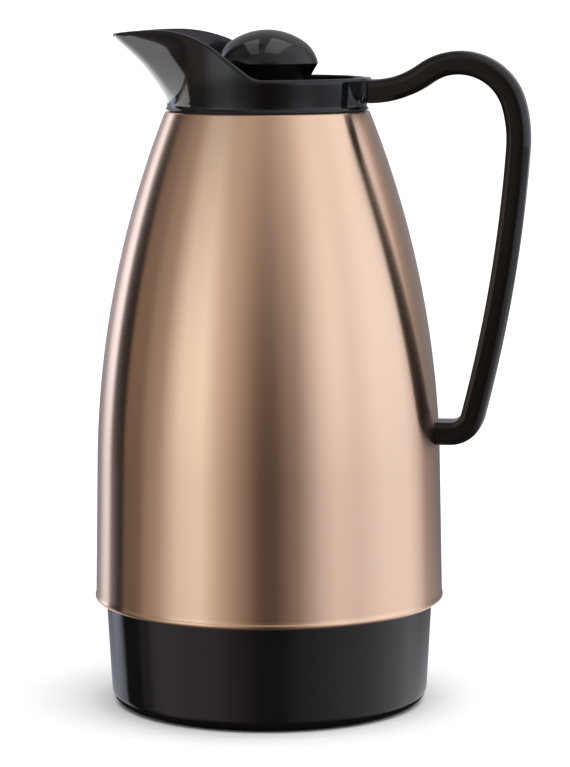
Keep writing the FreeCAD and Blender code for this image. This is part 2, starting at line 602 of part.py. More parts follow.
# ---- stopper plug: threaded tube with a flange and a narrower nose
plug = turned((
    (14.9, PLUG_BOTTOM_Z, 0.4), (PLUG_NOSE_RADIUS, PLUG_BOTTOM_Z, 0.4), (PLUG_NOSE_RADIUS, PLUG_STEP_Z, 1.0),
    (PLUG_RADIUS, PLUG_STEP_Z, 0.8), (PLUG_RADIUS, PLUG_FLANGE_Z, 0.6),
    (PLUG_FLANGE_RADIUS, PLUG_FLANGE_Z, 0.4), (PLUG_FLANGE_RADIUS, PLUG_TOP_Z, 0), (18.0, PLUG_TOP_Z, 0),
    (18.0, PLUG_STEP_Z + 2.4, 1.0), (14.9, PLUG_STEP_Z + 2.4, 0),
))
save(plug.fuse(stopper_thread(PLUG_RADIUS, 22.4, 225.5)), "stopper_plug")

# ---- foam core inside the plug
core = turned((
    (0, 211.2, 0), (12.4, 211.2, 0.5), (12.4, PLUG_STEP_Z + 2.8, 0), (17.5, PLUG_STEP_Z + 2.8, 1.0),
    (17.5, 238.8, 1.0), (0, 238.8, 0),
))
save(core, "stopper_insulation")

# ---- cap under the plug, which holds the sealing ring on its spigot
cap = turned((
    (0, CAP_BOTTOM_Z, 0), (PLUG_NOSE_RADIUS, CAP_BOTTOM_Z, 2.0), (PLUG_NOSE_RADIUS, CAP_TOP_Z, 0.6),
    (14.8, CAP_TOP_Z, 0), (14.8, 220.5, 0.4), (12.6, 220.5, 0.4), (12.6, CAP_TOP_Z, 0.6), (0, CAP_TOP_Z, 0),
))
save(cap, "stopper_bottom_cap")

# ---- soft sealing ring, loose enough on the spigot to stay still while the stopper turns
seal = turned((
    (15.2, CAP_TOP_Z + 0.5, 0.4), (18.4, CAP_TOP_Z + 0.5, 0.6), (SEAL_RADIUS, CAP_TOP_Z + 2.2, 0.6),
    (18.4, PLUG_BOTTOM_Z - 0.5, 0.6), (15.2, PLUG_BOTTOM_Z - 0.5, 0.4),
))
save(seal, "stopper_gasket")
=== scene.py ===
"""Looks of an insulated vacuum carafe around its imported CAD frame. Metres throughout."""

import json
import math

import bmesh
import bpy
from mathutils import Matrix, Vector


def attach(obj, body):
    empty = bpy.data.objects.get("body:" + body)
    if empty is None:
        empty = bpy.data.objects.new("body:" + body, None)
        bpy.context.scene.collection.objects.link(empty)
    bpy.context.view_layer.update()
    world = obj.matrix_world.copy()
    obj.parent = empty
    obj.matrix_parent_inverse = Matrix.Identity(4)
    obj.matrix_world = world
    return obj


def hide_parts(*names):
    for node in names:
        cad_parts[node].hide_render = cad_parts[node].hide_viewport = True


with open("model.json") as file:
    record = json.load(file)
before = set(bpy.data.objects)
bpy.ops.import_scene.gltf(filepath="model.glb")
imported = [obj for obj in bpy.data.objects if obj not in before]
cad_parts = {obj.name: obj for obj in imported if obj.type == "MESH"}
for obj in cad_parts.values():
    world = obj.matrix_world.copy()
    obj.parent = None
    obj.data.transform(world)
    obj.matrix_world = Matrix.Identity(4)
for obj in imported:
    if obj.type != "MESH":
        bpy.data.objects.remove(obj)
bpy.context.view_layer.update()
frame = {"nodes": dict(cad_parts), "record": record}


# ---------------------------------------------------------------- camera
CAMERA_AZIMUTH = math.radians(8.66)
CAMERA_DISTANCE = 1.205
CAMERA_HEIGHT = 0.286
CAMERA_PITCH = math.radians(7.52)
CAMERA_TURN = math.radians(0.313)
CAMERA_ROLL = math.radians(0.183)
CAMERA_LENS = 143.4


def make_camera():
    """Camera before the jug's side, a little round toward the handle and tipped slightly down."""
    data = bpy.data.cameras.new("camera")
    data.lens = CAMERA_LENS
    data.sensor_width = 36.0
    data.clip_start = 0.05
    data.clip_end = 50.0
    camera = bpy.data.objects.new("camera", data)
    bpy.context.scene.collection.objects.link(camera)
    camera.location = (
        CAMERA_DISTANCE * math.sin(CAMERA_AZIMUTH),
        -CAMERA_DISTANCE * math.cos(CAMERA_AZIMUTH),
        CAMERA_HEIGHT,
    )
    heading = CAMERA_AZIMUTH - CAMERA_TURN
    upright = Matrix.Rotation(heading, 4, "Z") @ Matrix.Rotation(math.pi / 2 - CAMERA_PITCH, 4, "X")
    camera.rotation_mode = "QUATERNION"
    camera.rotation_quaternion = (upright @ Matrix.Rotation(-CAMERA_ROLL, 4, "Z")).to_quaternion()
    bpy.context.scene.camera = camera


# ---------------------------------------------------------------- node helpers
def link(tree, source, target):
    """Joins two sockets."""
    tree.links.new(source, target)


def add_node(tree, kind, **values):
    """New node with properties and default inputs set by name."""
    node = tree.nodes.new(kind)
    for name, value in values.items():
        if hasattr(node, name):
            setattr(node, name, value)
        else:
            node.inputs[name].default_value = value
    return node


def maths(tree, operation, first, second=None):
    """Result of a sum with numbers or sockets."""
    node = tree.nodes.new("ShaderNodeMath")
    node.operation = operation
    for socket, value in zip(node.inputs, (first, second)):
        if value is None:
            continue
        if isinstance(value, (int, float)):
            socket.default_value = value
        else:
            link(tree, value, socket)
    return node.outputs[0]


def ramp(tree, source, stops):
    """Colour ramp through (position, colour) stops."""
    node = tree.nodes.new("ShaderNodeValToRGB")
    elements = node.color_ramp.elements
    while len(elements) > 1:
        elements.remove(elements[-1])
    elements[0].position = stops[0][0]
    elements[0].color = stops[0][1] + (1.0,)
    for position, colour in stops[1:]:
        element = elements.new(position)
        element.color = colour + (1.0,)
    link(tree, source, node.inputs[0])
    return node.outputs[0]


def noise(tree, scale, detail=2.0, stretch=(1.0, 1.0, 1.0), roughness=0.5):
    """Noise in the object's own metres, stretched along an axis."""
    place = add_node(tree, "ShaderNodeTexCoord")
    mapping = add_node(tree, "ShaderNodeMapping")
    mapping.inputs["Scale"].default_value = stretch
    link(tree, place.outputs["Object"], mapping.inputs["Vector"])
    node = add_node(tree, "ShaderNodeTexNoise")
    node.inputs["Scale"].default_value = scale
    node.inputs["Detail"].default_value = detail
    node.inputs["Roughness"].default_value = roughness
    link(tree, mapping.outputs[0], node.inputs["Vector"])
    return node.outputs[0]


def spread(tree, source, low, high):
    """Middle range of a noise, 0.3 to 0.7, turned into low to high."""
    node = tree.nodes.new("ShaderNodeMapRange")
    link(tree, source, node.inputs["Value"])
    node.inputs["From Min"].default_value = 0.3
    node.inputs["From Max"].default_value = 0.7
    node.inputs["To Min"].default_value = low
    node.inputs["To Max"].default_value = high
    return node.outputs["Result"]


def bump(tree, height, distance, strength):
    """Normal of a surface raised by a height from 0 to 1."""
    node = tree.nodes.new("ShaderNodeBump")
    node.inputs["Distance"].default_value = distance
    node.inputs["Strength"].default_value = strength
    link(tree, height, node.inputs["Height"])
    return node.outputs[0]


def new_material(name, **values):
    """Principled material with its constants on the shader's own sockets."""
    material = bpy.data.materials.new(name)
    material.use_nodes = True
    tree = material.node_tree
    shader = tree.nodes["Principled BSDF"]
    for key, value in values.items():
        shader.inputs[key.replace("_", " ")].default_value = value
    return material, tree, shader


# ---------------------------------------------------------------- materials
def copper_material():
    """Satin copper-toned steel, brushed round the body."""
    material, tree, shader = new_material("satin_copper", Metallic=1.0, Anisotropic=1.0)
    shader.inputs["Anisotropic Rotation"].default_value = 0.25
    lines = noise(tree, 1.0, 4.0, (14.0, 14.0, 5200.0), 0.6)
    clouds = noise(tree, 18.0, 2.0, (1.0, 1.0, 0.5))
    tone = ramp(tree, lines, ((0.25, (0.900, 0.610, 0.432)), (0.75, (0.930, 0.636, 0.458))))
    wash = ramp(tree, clouds, ((0.3, (0.985, 0.975, 0.965)), (0.7, (1.0, 1.0, 1.0))))
    mix = add_node(tree, "ShaderNodeMix", data_type="RGBA", blend_type="MULTIPLY")
    mix.inputs[0].default_value = 1.0
    link(tree, tone, mix.inputs[6])
    link(tree, wash, mix.inputs[7])
    link(tree, mix.outputs[2], shader.inputs["Base Color"])
    link(tree, spread(tree, lines, 0.242, 0.254), shader.inputs["Roughness"])
    link(tree, bump(tree, lines, 0.000001, 0.4), shader.inputs["Normal"])
    tangent = add_node(tree, "ShaderNodeTangent", direction_type="RADIAL", axis="Z")
    link(tree, tangent.outputs[0], shader.inputs["Tangent"])
    return material


def plastic_material(name, dark, light, low, high, peel=0.000006):
    """Moulded plastic: slow drift in colour and gloss, and a faint orange peel."""
    material, tree, shader = new_material(name)
    shader.inputs["IOR"].default_value = 1.46
    drift = noise(tree, 26.0, 3.0)
    fine = noise(tree, 420.0, 2.0)
    link(tree, ramp(tree, drift, ((0.3, dark), (0.7, light))), shader.inputs["Base Color"])
    link(tree, spread(tree, drift, low, high), shader.inputs["Roughness"])
    link(tree, bump(tree, fine, peel, 0.5), shader.inputs["Normal"])
    return material


def metal_material(name, dark, light, low, high, stretch):
    """Metal or mirror: drift in colour and gloss along one direction."""
    material, tree, shader = new_material(name, Metallic=1.0)
    lines = noise(tree, 60.0, 3.0, stretch)
    link(tree, ramp(tree, lines, ((0.3, dark), (0.7, light))), shader.inputs["Base Color"])
    link(tree, spread(tree, lines, low, high), shader.inputs["Roughness"])
    link(tree, bump(tree, lines, 0.00001, 0.4), shader.inputs["Normal"])
    return material


materials = {
    "copper_steel": copper_material(),
    "black_gloss_plastic": plastic_material(
        "gloss_black", (0.0040, 0.0033, 0.0031), (0.0056, 0.0048, 0.0046), 0.05, 0.085),
    "inner_plastic": plastic_material(
        "inner_plastic", (0.50, 0.50, 0.48), (0.58, 0.58, 0.56), 0.34, 0.44, 0.00002),
    "rubber": plastic_material(
        "grey_rubber", (0.020, 0.020, 0.021), (0.032, 0.032, 0.033), 0.62, 0.75, 0.00004),
    "silicone": plastic_material(
        "milky_silicone", (0.52, 0.50, 0.47), (0.60, 0.58, 0.55), 0.42, 0.52, 0.00002),
    "silvered_glass": metal_material(
        "silvered_glass", (0.86, 0.85, 0.83), (0.92, 0.915, 0.90), 0.03, 0.07, (1.0, 1.0, 1.0)),
    "spacer": plastic_material(
        "spacer_fibre", (0.60, 0.58, 0.54), (0.70, 0.68, 0.64), 0.75, 0.85, 0.00006),
    "steel": metal_material(
        "plain_steel", (0.50, 0.50, 0.51), (0.62, 0.62, 0.62), 0.22, 0.34, (1.0, 1.0, 8.0)),
    "foam": plastic_material(
        "pale_foam", (0.62, 0.58, 0.46), (0.72, 0.68, 0.55), 0.85, 0.95, 0.0002),
}

slot_of = {}
for entry in frame["record"]["subparts"]:
    slot_of[entry["node"]] = entry["material_slot"]
for node_name, node in frame["nodes"].items():
    node.data.materials.clear()
    node.data.materials.append(materials[slot_of[node_name]])


# ---------------------------------------------------------------- mesh helpers
MM = 0.001


def corner_points(before, here, after, rounding, steps):
    """Points of a rounded corner of a path in (radius, height)."""
    back = (before - here).normalized()
    on = (after - here).normalized()
    half = back.angle(on) / 2.0
    if rounding <= 0.0 or half > math.radians(89.5):
        return [here]
    reach = rounding / math.tan(half)
    reach = min(reach, 0.49 * (before - here).length, 0.49 * (after - here).length)
    radius = reach * math.tan(half)
    centre = here + (back + on).normalized() * (radius / math.sin(half))
    start = here + back * reach - centre
    end = here + on * reach - centre
    sweep = start.angle(end)
    points = []
    for step in range(steps + 1):
        share = step / steps
        blend = start * math.sin((1 - share) * sweep) + end * math.sin(share * sweep)
        points.append(centre + blend / math.sin(sweep))
    return points


def rounded_path(corners, steps=6, closed=True):
    """Path through (radius, height, rounding) corners, in millimetres, with its corners rounded."""
    points = []
    count = len(corners)
    for index, (x, z, rounding) in enumerate(corners):
        here = Vector((x, z))
        before = Vector(corners[index - 1][:2])
        after = Vector(corners[(index + 1) % count][:2])
        if not closed and index in (0, count - 1):
            points.append(here)
        else:
            points.extend(corner_points(before, here, after, rounding, steps))
    return points


def arc_through(start, middle, end, steps):
    """Points of the arc through three points, the first one left out."""
    ax, ay = middle - start
    bx, by = end - start
    cross = 2.0 * (ax * by - ay * bx)
    a2 = ax * ax + ay * ay
    b2 = bx * bx + by * by
    centre = start + Vector(((by * a2 - ay * b2) / cross, (ax * b2 - bx * a2) / cross))
    radius = (start - centre).length
    first = math.atan2(start.y - centre.y, start.x - centre.x)
    last = math.atan2(end.y - centre.y, end.x - centre.x)
    sweep = (last - first + math.pi) % (2 * math.pi) - math.pi
    points = []
    for step in range(1, steps + 1):
        angle = first + sweep * step / steps
        points.append(centre + Vector((math.cos(angle), math.sin(angle))) * radius)
    return points


def split_long(points, limit, closed=True):
    """The same path with its long straight runs divided."""
    result = []
    last = len(points) if closed else len(points) - 1
    for index in range(last):
        here = points[index]
        after = points[(index + 1) % len(points)]
        parts = max(1, math.ceil((after - here).length / limit))
        for part in range(parts):
            result.append(here.lerp(after, part / parts))
    if not closed:
        result.append(points[-1])
    return result


def finish_mesh(name, form, slot, crease=38.0):
    """Turns a bmesh into a smooth-shaded object with the finish of a material slot."""
    bmesh.ops.remove_doubles(form, verts=form.verts, dist=1e-7)
    bmesh.ops.recalc_face_normals(form, faces=form.faces)
    mesh = bpy.data.meshes.new(name)
    form.to_mesh(mesh)
    form.free()
    mesh.polygons.foreach_set("use_smooth", [True] * len(mesh.polygons))
    mesh.set_sharp_from_angle(angle=math.radians(crease))
    mesh.materials.append(materials[slot])
    piece = bpy.data.objects.new(name, mesh)
    bpy.context.scene.collection.objects.link(piece)
    weighted = piece.modifiers.new("even_normals", "WEIGHTED_NORMAL")
    weighted.keep_sharp = True
    weighted.weight = 60
    return piece


def revolve(form, path, segments=192, closed=True):
    """Path in (radius, height) millimetres turned about Z; an open path starts and ends on the axis."""
    rings = []
    for point in path:
        if point.x < 1e-6:
            rings.append([form.verts.new((0.0, 0.0, point.y * MM))] * segments)
            continue
        ring = []
        for step in range(segments):
            angle = 2.0 * math.pi * step / segments
            place = Vector((point.x * math.cos(angle), point.x * math.sin(angle), point.y))
            ring.append(form.verts.new(place * MM))
        rings.append(ring)
    join_rings(form, rings, True, closed)


def join_rings(form, rings, around, closed):
    """Faces between neighbouring rings of vertices."""
    count = len(rings[0])
    for index in range(len(rings) if closed else len(rings) - 1):
        first = rings[index]
        second = rings[(index + 1) % len(rings)]
        for step in range(count if around else count - 1):
            other = (step + 1) % count
            corners = []
            for vertex in (first[step], first[other], second[other], second[step]):
                if vertex not in corners:
                    corners.append(vertex)
            if len(corners) > 2:
                form.faces.new(corners)


RIDGE_SUNK = 0.3               # how far a ridge's root reaches into its wall
RIDGE_TAPER_SHARE = 12.0       # one over the share of the ridge that tapers off at each end
RIDGE_LEAST = 0.03             # height left at the very end


def ridge(form, wall, crest, root_width, crest_width, lead, turns, start_z, start_angle):
    """Right-handed thread ridge on a wall, tapering off at both ends."""
    steps = max(12, round(96 * turns))
    sunk = wall + (RIDGE_SUNK if crest < wall else -RIDGE_SUNK)
    rings = []
    for step in range(steps + 1):
        share = step / steps
        angle = math.radians(start_angle) + 2.0 * math.pi * turns * share
        taper = min(1.0, RIDGE_TAPER_SHARE * share, RIDGE_TAPER_SHARE * (1.0 - share))
        top = wall + (crest - wall) * (taper * (1.0 - RIDGE_LEAST) + RIDGE_LEAST)
        ring = []
        for radius, offset in ((sunk, -root_width / 2), (top, -crest_width / 2), (top, crest_width / 2),
                               (sunk, root_width / 2)):
            height = start_z + lead * turns * share + offset
            place = Vector((radius * math.cos(angle), radius * math.sin(angle), height))
            ring.append(form.verts.new(place * MM))
        rings.append(ring)
    join_rings(form, rings, True, False)
    form.faces.new(rings[0])
    form.faces.new(rings[-1])


# ---------------------------------------------------------------- shell
SHELL_FOOT = Vector((69.3, 41.3))
SHELL_TAPER = 0.0189
SHOULDER_Z = 96.9
SHOULDER_ARC = 391.0
SHELL_TOP = 235.2
SHELL_WALL = 0.6
LIP_RADIUS = 35.5
HEM_CENTRE = Vector((68.1, 42.8))
HEM_RADIUS = 1.5
HEM_STEPS = 28
HEM_OUTER_MEET = 43.7          # heights where the hem's roll meets the outside and the inside of the wall
HEM_INNER_MEET = 44.2
WALL_START = 45.0
WALL_STEPS = 84
LIP_EDGE = 0.1
TOP_ROUNDING = 1.0


def shell_radius(z):
    """Outside radius of the shell at a height, in millimetres."""
    if z <= SHOULDER_Z:
        return SHELL_FOOT.x - SHELL_TAPER * (z - SHELL_FOOT.y)
    slope = math.atan(SHELL_TAPER)
    start = SHELL_FOOT.x - SHELL_TAPER * (SHOULDER_Z - SHELL_FOOT.y)
    centre_z = SHOULDER_Z - SHOULDER_ARC * math.sin(slope)
    return start - SHOULDER_ARC * math.cos(slope) + math.sqrt(SHOULDER_ARC ** 2 - (z - centre_z) ** 2)


def hem_angle(radius):
    """Angle on the hem's section where it meets a wall of a radius, above its centre."""
    return math.acos((radius - HEM_CENTRE.x) / HEM_RADIUS)


def hem_points():
    """The rolled hem, from the outside of the wall round below to the inside."""
    outer_meet = hem_angle(shell_radius(HEM_OUTER_MEET))
    inner_meet = hem_angle(shell_radius(HEM_INNER_MEET) - SHELL_WALL)
    points = []
    for step in range(HEM_STEPS + 1):
        angle = outer_meet - (outer_meet + 2 * math.pi - inner_meet) * step / HEM_STEPS
        points.append(HEM_CENTRE + Vector((math.cos(angle), math.sin(angle))) * HEM_RADIUS)
    return points


def make_shell():
    """Tapered and arched wall with a rolled hem below and a turned-in lip above."""
    path = hem_points()
    top_z = SHELL_TOP - SHELL_WALL
    heights = [WALL_START + (top_z - WALL_START) * step / WALL_STEPS for step in range(WALL_STEPS + 1)]
    for z in heights:
        path.append(Vector((shell_radius(z) - SHELL_WALL, z)))
    crown = shell_radius(SHELL_TOP)
    path.append(Vector((LIP_RADIUS, top_z)))
    path.append(Vector((LIP_RADIUS, SHELL_TOP - LIP_EDGE)))
    path.append(Vector((LIP_RADIUS + LIP_EDGE, SHELL_TOP)))
    path.append(Vector(((LIP_RADIUS + crown) / 2, SHELL_TOP)))
    inward = Vector((LIP_RADIUS + 1.0, SHELL_TOP))
    below = Vector((shell_radius(SHELL_TOP - 3.0), SHELL_TOP - 3.0))
    path.extend(corner_points(inward, Vector((crown, SHELL_TOP)), below, TOP_ROUNDING, 8))
    for z in reversed([z for z in heights if z < SHELL_TOP - 1.6]):
        path.append(Vector((shell_radius(z), z)))
    form = bmesh.new()
    revolve(form, path, 256)
    piece = finish_mesh("shell", form, "copper_steel")
    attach(piece, "jug")
    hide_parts("outer_shell")


# ---------------------------------------------------------------- base
BASE_OUTLINE = (
    (49.0, 1.2, 0.6), (50.0, 0, 0.3), (62.9, 0, 5.5), (65.4, 44.4, 0.5), (61.0, 44.4, 0.4),
    (61.0, 57.4, 0.6), (58.6, 57.4, 0.6), (58.6, 40.8, 1.0), (62.7, 38.0, 1.0), (60.5, 3.6, 4.0),
    (24.4, 3.6, 1.5), (24.4, 42.3, 0.6), (22.0, 42.3, 0.6), (22.0, 3.6, 1.5),
)
BASE_FLOOR_LOW = 1.2
BASE_FLOOR_HIGH = 3.6
BASE_NECK_RADIUS = 61.0


def make_base():
    """Cup under the shell: tapered wall, rounded corner, flat foot ring and recessed floor."""
    path = [Vector((0, BASE_FLOOR_LOW))] + rounded_path(BASE_OUTLINE, 8) + [Vector((0, BASE_FLOOR_HIGH))]
    form = bmesh.new()
    revolve(form, split_long(path, 4.0, closed=False), closed=False)
    ridge(form, BASE_NECK_RADIUS, crest=BASE_NECK_RADIUS + 1.3, root_width=1.8, crest_width=1.0,
          lead=5.0, turns=1.6, start_z=48.9, start_angle=0)
    piece = finish_mesh("base", form, "black_gloss_plastic")
    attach(piece, "jug")
    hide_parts("base_cup")


# ---------------------------------------------------------------- knob
KNOB_TOP = 266.9
KNOB_EDGE = Vector((20.0, 253.8))
KNOB_NECK = Vector((15.0, 245.2))
KNOB_WALL = 2.2
KNOB_EDGE_ROUNDING = 0.45
# points of the section: radius, depth below the top, and how much of an inset goes inward and down
KNOB_CROWN = (7.6, 1.2, 0.3, 0.95)
KNOB_BEND = (15.0, 5.0, 0.6, 0.8)
KNOB_SHOULDER = (18.3, 8.75, 0.85, 0.5)
KNOB_FOOT = (
    (15.0, 245.2, 0), (16.5, 243.0, 1.2), (24.0, 242.0, 0.5), (24.0, 240.3, 0.2), (17.7, 240.3, 0),
    (17.7, 239.2, 0.2), (12.8, 239.2, 0),
)


def knob_point(spot, inset):
    """Point of the knob's section, drawn in by an inset."""
    radius, drop, inward, down = spot
    return Vector((radius - inset * inward, KNOB_TOP - drop - inset * down))


def knob_face(inset, steps):
    """Dome and cone of the knob, from the top of the axis down to the neck."""
    top = Vector((0.0, KNOB_TOP - inset))
    edge = Vector((KNOB_EDGE.x - inset, KNOB_EDGE.y + inset * 0.4))
    bend = knob_point(KNOB_BEND, inset)
    neck = Vector((KNOB_NECK.x - inset, KNOB_NECK.y))
    path = [top] + arc_through(top, knob_point(KNOB_CROWN, inset), bend, steps)
    path += arc_through(bend, knob_point(KNOB_SHOULDER, inset), edge, steps)
    rim = corner_points(path[-2], edge, neck, KNOB_EDGE_ROUNDING, 6)
    return path[:-1] + rim + [neck]


def make_knob():
    """Domed knob with a sharp widest edge on a drawn-in neck, hollow from below."""
    foot = rounded_path(KNOB_FOOT, 5, closed=False)
    path = knob_face(0.0, 16) + foot[1:] + list(reversed(knob_face(KNOB_WALL, 10)))
    form = bmesh.new()
    revolve(form, split_long(path, 2.0, closed=False), 160, closed=False)
    piece = finish_mesh("knob", form, "black_gloss_plastic")
    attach(piece, "stopper")
    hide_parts("stopper_knob")


# ---------------------------------------------------------------- handle
HANDLE_START = Vector((40.6, 242.9))
HANDLE_HEADING = 0.8
# middle line of the bar from the lug on: (radius, degrees turned) for an arc, (0, length) for a line
HANDLE_LINE = (
    (0, 1.2), (36.45, 35.1), (22.23, -110.4), (50.55, -19.5), (580.0, -10.1), (0, 4.4), (9.05, -75.9),
    (0, 10.0),
)
HALF_DEPTH = 4.55
HALF_WIDTH = 8.0
OUTER_ROUNDING = 3.2
INNER_BEVEL = 1.8
BEVEL_SOFTNESS = 0.5
HANDLE_START_RINGS = 12        # rings next to the lug, which are always kept
HANDLE_CLEARANCE = 0.8         # later rings nearer than this to the shell are left out, except the last
HANDLE_SUNK = 0.25


def handle_line():
    """Points and headings along the middle of the handle, in its side view."""
    here = HANDLE_START.copy()
    angle = math.radians(HANDLE_HEADING)
    found = [(here.copy(), angle)]
    for radius, amount in HANDLE_LINE:
        if radius == 0:
            steps = max(1, round(amount / 1.5))
            for _ in range(steps):
                here += Vector((math.cos(angle), math.sin(angle))) * (amount / steps)
                found.append((here.copy(), angle))
            continue
        turn = math.radians(amount)
        side = 1 if turn > 0 else -1
        centre = here + Vector((-math.sin(angle), math.cos(angle))) * side * radius
        steps = max(10, round(radius * abs(turn) / 1.6))
        for step in range(1, steps + 1):
            there = angle + turn * step / steps
            point = centre + Vector((math.sin(there), -math.cos(there))) * side * radius
            found.append((point, there))
        angle += turn
        here = found[-1][0].copy()
    return found


def handle_section():
    """Outline across the bar as (sideways, outward): rounded outside, bevelled inside."""
    narrow = HALF_WIDTH - INNER_BEVEL
    shallow = HALF_DEPTH - INNER_BEVEL
    corners = (
        (HALF_WIDTH, HALF_DEPTH, OUTER_ROUNDING), (-HALF_WIDTH, HALF_DEPTH, OUTER_ROUNDING),
        (-HALF_WIDTH, -shallow, BEVEL_SOFTNESS), (-narrow, -HALF_DEPTH, BEVEL_SOFTNESS),
        (narrow, -HALF_DEPTH, BEVEL_SOFTNESS), (HALF_WIDTH, -shallow, BEVEL_SOFTNESS),
    )
    return split_long(rounded_path(corners, 6), 2.2)


def make_handle():
    """Bar of even section that follows the handle's line and ends on the shell."""
    section = handle_section()
    line = handle_line()
    last = len(line) - 1
    form = bmesh.new()
    rings = []
    for index, (point, angle) in enumerate(line):
        clear = index < HANDLE_START_RINGS or point.x > shell_radius(point.y) + HANDLE_CLEARANCE
        if not clear and index != last:
            continue
        out = Vector((-math.sin(angle), math.cos(angle)))
        ring = []
        for sideways, outward in section:
            place = point + out * outward
            x = place.x
            if index == 0:
                x = HANDLE_START.x
            if index == last:
                x = math.sqrt(shell_radius(place.y) ** 2 - sideways ** 2) - HANDLE_SUNK
            ring.append(form.verts.new((x * MM, sideways * MM, place.y * MM)))
        rings.append(ring)
    join_rings(form, rings, True, False)
    form.faces.new(rings[0])
    form.faces.new(rings[-1])
    piece = finish_mesh("handle_bar", form, "black_gloss_plastic", 50.0)
    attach(piece, "jug")
    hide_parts("handle")


# ---------------------------------------------------------------- collar
BOWL_RADIUS = 40.0
COLLAR_WALL = 2.4
COLLAR_FOOT = 235.8
COLLAR_RIM = 248.3
OUTER_RIM_ROUNDING = 1.5
INNER_RIM_ROUNDING = 0.7
WALL_LEAN = 0.9
LEAN_HEIGHT = 24.0
FOOT_FLARE = 1.5
SPOUT_SECTIONS = (
    (235.8, 40.2, 37.0), (239.4, 40.6, 34.1), (244.2, 43.2, 30.1), (248.9, 46.4, 26.1), (253.6, 50.2, 22.0),
    (258.3, 54.9, 18.1), (262.5, 59.6, 15.3), (266.0, 62.7, 13.4), (269.0, 64.8, 12.0),
)
# side view of the rim: crest, long fall toward the lip, shorter fall toward the bowl
RIM_CREST = Vector((-39.5, 267.0))
RIM_LIP_ARC = 142.0
RIM_FALL_ARC = 45.3
RIM_FALL_ANGLE = math.radians(36.0)
RIM_COVE_ARC = 8.0
LUG_END = 40.6
LUG_HALF_WIDTH = 8.0
LUG_SPLAY = Vector((8.0, 7.6))
LUG_BLEND = 0.5
LUG_REACH = 0.36               # the lug stands where y is within this share of x
LUG_FOOT = 238.35
LUG_EDGE = 0.4
THROAT_INSIDE = 22.8
THROAT_OUTSIDE = 26.2
THROAT_FOOT = 219.5
THROAT_EDGE = 0.3
THROAT_MOUTH_EDGE = 0.5
FOOT_EDGE = 0.2
FLOOR_HEIGHT = 237.7
FLOOR_START = 22.0
FLOOR_SLOPE = 1.2 / 48.0
FLOOR_COVE = 1.6


def spout_at(z):
    """Reach and nose radius at a height, on a smooth curve through the sections."""
    rows = SPOUT_SECTIONS
    z = min(max(z, rows[0][0]), rows[-1][0])
    index = 0
    while index < len(rows) - 2 and z > rows[index + 1][0]:
        index += 1
    result = []
    for column in (1, 2):
        slopes = []
        for here in (index, index + 1):
            low_row = rows[max(here - 1, 0)]
            high_row = rows[min(here + 1, len(rows) - 1)]
            slopes.append((high_row[column] - low_row[column]) / (high_row[0] - low_row[0]))
        span = rows[index + 1][0] - rows[index][0]
        t = (z - rows[index][0]) / span
        result.append((2 * t ** 3 - 3 * t ** 2 + 1) * rows[index][column]
                      + (t ** 3 - 2 * t ** 2 + t) * span * slopes[0]
                      + (3 * t ** 2 - 2 * t ** 3) * rows[index + 1][column]
                      + (t ** 3 - t ** 2) * span * slopes[1])
    return result


def rim_height(x):
    """Height of the rim line over a place along X."""
    if x <= RIM_CREST.x:
        across = x - RIM_CREST.x
        return RIM_CREST.y - RIM_LIP_ARC + math.sqrt(RIM_LIP_ARC ** 2 - across ** 2)
    fall_x = RIM_CREST.x + RIM_FALL_ARC * math.sin(RIM_FALL_ANGLE)
    fall_z = RIM_CREST.y - RIM_FALL_ARC * (1 - math.cos(RIM_FALL_ANGLE))
    if x <= fall_x:
        across = x - RIM_CREST.x
        return RIM_CREST.y - RIM_FALL_ARC + math.sqrt(RIM_FALL_ARC ** 2 - across ** 2)
    cove_height = RIM_COVE_ARC * (1 - math.cos(RIM_FALL_ANGLE))
    cove_x = fall_x + (fall_z - COLLAR_RIM - cove_height) / math.tan(RIM_FALL_ANGLE)
    if x <= cove_x:
        return fall_z - (x - fall_x) * math.tan(RIM_FALL_ANGLE)
    level_x = cove_x + RIM_COVE_ARC * math.sin(RIM_FALL_ANGLE)
    if x <= level_x:
        return COLLAR_RIM + RIM_COVE_ARC - math.sqrt(RIM_COVE_ARC ** 2 - (x - level_x) ** 2)
    return COLLAR_RIM


NOSE_STEPS = 28
FLANK_STEPS = 22
BOWL_STEPS = 150
UPRIGHT_STEPS = 16
QUARTER = [math.pi / 2 * step / 7 for step in range(8)]


def outline_point(index, z, inset):
    """One point of the collar's level outline, counted round the axis, without the lug."""
    reach, nose = spout_at(z)
    big = BOWL_RADIUS - inset
    small = nose - inset
    centre = -(reach - nose)
    first = math.pi / 2 + math.asin(min(1.0, (big - small) / max(-centre, 1e-9)))
    flank_ends = (
        Vector((big * math.cos(first), big * math.sin(first))),
        Vector((centre + small * math.cos(first), small * math.sin(first))),
    )
    if index < BOWL_STEPS:
        angle = -first + 2 * first * index / BOWL_STEPS
        return Vector((big * math.cos(angle), big * math.sin(angle)))
    index -= BOWL_STEPS
    if index < FLANK_STEPS:
        return flank_ends[0].lerp(flank_ends[1], index / FLANK_STEPS)
    index -= FLANK_STEPS
    if index < NOSE_STEPS:
        angle = first + 2 * (math.pi - first) * index / NOSE_STEPS
        return Vector((centre + small * math.cos(angle), small * math.sin(angle)))
    index -= NOSE_STEPS
    place = flank_ends[1].lerp(flank_ends[0], index / FLANK_STEPS)
    return Vector((place.x, -place.y))


